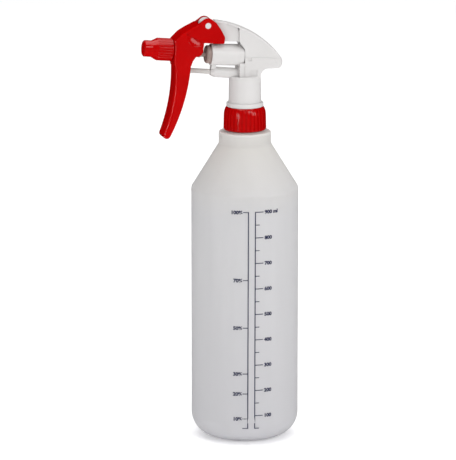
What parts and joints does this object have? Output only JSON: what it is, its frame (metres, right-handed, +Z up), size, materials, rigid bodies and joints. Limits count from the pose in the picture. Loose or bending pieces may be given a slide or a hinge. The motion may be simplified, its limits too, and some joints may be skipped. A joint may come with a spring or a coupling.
{
  "type": "hand mister",
  "caption": "Hand mister: a tall round bottle with a screw-on closure and a trigger head whose lever works a piston, a vent rod and a screw nozzle.",
  "frame": {"origin": "on the bottle's axis, in the plane of its foot ring", "axes": "+Z up along the bottle's axis, -X the way the nozzle sprays, +X toward the head's tail"},
  "size_m": [0.1213, 0.082, 0.3273],
  "materials": {
    "bottle_plastic": "natural blow-moulded polyethylene, satin",
    "red_plastic": "red injection-moulded polypropylene, gloss",
    "white_plastic": "white injection-moulded polypropylene",
    "natural_plastic": "natural polyethylene, slightly milky",
    "seal_rubber": "moulded rubber",
    "spring_steel": "drawn stainless wire and polished balls"
  },
  "bodies": {
    "bottle": {"bottle": "bottle_plastic"},
    "head": {"pump_body": "white_plastic", "cover": "white_plastic", "neck_gasket": "seal_rubber", "tube_holder": "white_plastic", "dip_tube": "natural_plastic", "return_spring": "spring_steel"},
    "closure": {"closure": "red_plastic"},
    "trigger": {"trigger": "red_plastic", "spray_tube": "natural_plastic", "spinner": "white_plastic"},
    "nozzle_seal": {"nozzle_seal": "seal_rubber"},
    "nozzle": {"nozzle": "red_plastic"},
    "piston": {"piston": "natural_plastic", "piston_cup": "natural_plastic", "discharge_seat": "white_plastic", "discharge_spring": "spring_steel"},
    "discharge_ball": {"discharge_ball": "spring_steel"},
    "inlet_ball": {"inlet_ball": "spring_steel"},
    "vent_rod": {"vent_rod": "natural_plastic", "vent_cup": "seal_rubber"}
  },
  "joints": [
    {"name": "head_lift", "type": "slide", "parent": "bottle", "child": "head", "axis": [0, 0, 1], "range_m": [0, 0.00634]},
    {"name": "closure_turn", "type": "hinge", "parent": "head", "child": "closure", "pos_m": [0, 0, 0.248], "axis": [0, 0, 1], "range_deg": [0, 540]},
    {"name": "trigger_squeeze", "type": "hinge", "parent": "head", "child": "trigger", "pos_m": [-0.0305, 0, 0.32168], "axis": [0, -1, 0], "range_deg": [0, 21]},
    {"name": "piston_stroke", "type": "slide", "parent": "head", "child": "piston", "axis": [0.9981, 0, -0.061], "range_m": [0, 0.00848], "stiffness_N_per_m": 2200, "springref_m": -0.0035, "deforming": ["return_spring"]},
    {"name": "vent_stroke", "type": "slide", "parent": "head", "child": "vent_rod", "axis": [0.9945, 0, -0.1045], "range_m": [0, 0.0128]},
    {"name": "nozzle_advance", "type": "slide", "parent": "trigger", "child": "nozzle_seal", "axis": [-0.9954, 0, 0.0958], "range_m": [0, 0.0015]},
    {"name": "nozzle_turn", "type": "hinge", "parent": "nozzle_seal", "child": "nozzle", "pos_m": [-0.0573, 0, 0.30348], "axis": [-0.9954, 0, 0.0958], "range_deg": [0, 360]},
    {"name": "discharge_ball_lift", "type": "slide", "parent": "piston", "child": "discharge_ball", "axis": [-0.9981, 0, 0.061], "range_m": [0, 0.0012], "stiffness_N_per_m": 60, "springref_m": -0.001, "deforming": ["discharge_spring"]},
    {"name": "inlet_ball_lift", "type": "slide", "parent": "head", "child": "inlet_ball", "axis": [0, 0, 1], "range_m": [0, 0.002]}
  ],
  "couplings": [
    {"joint": "closure_turn", "follows": "head_lift", "rad_per_m": 1485.4},
    {"joint": "trigger_squeeze", "follows": "piston_stroke", "rad_per_m": 43.197},
    {"joint": "vent_stroke", "follows": "piston_stroke", "ratio": 1.4989},
    {"joint": "nozzle_turn", "follows": "nozzle_advance", "rad_per_m": 4188.8}
  ]
}
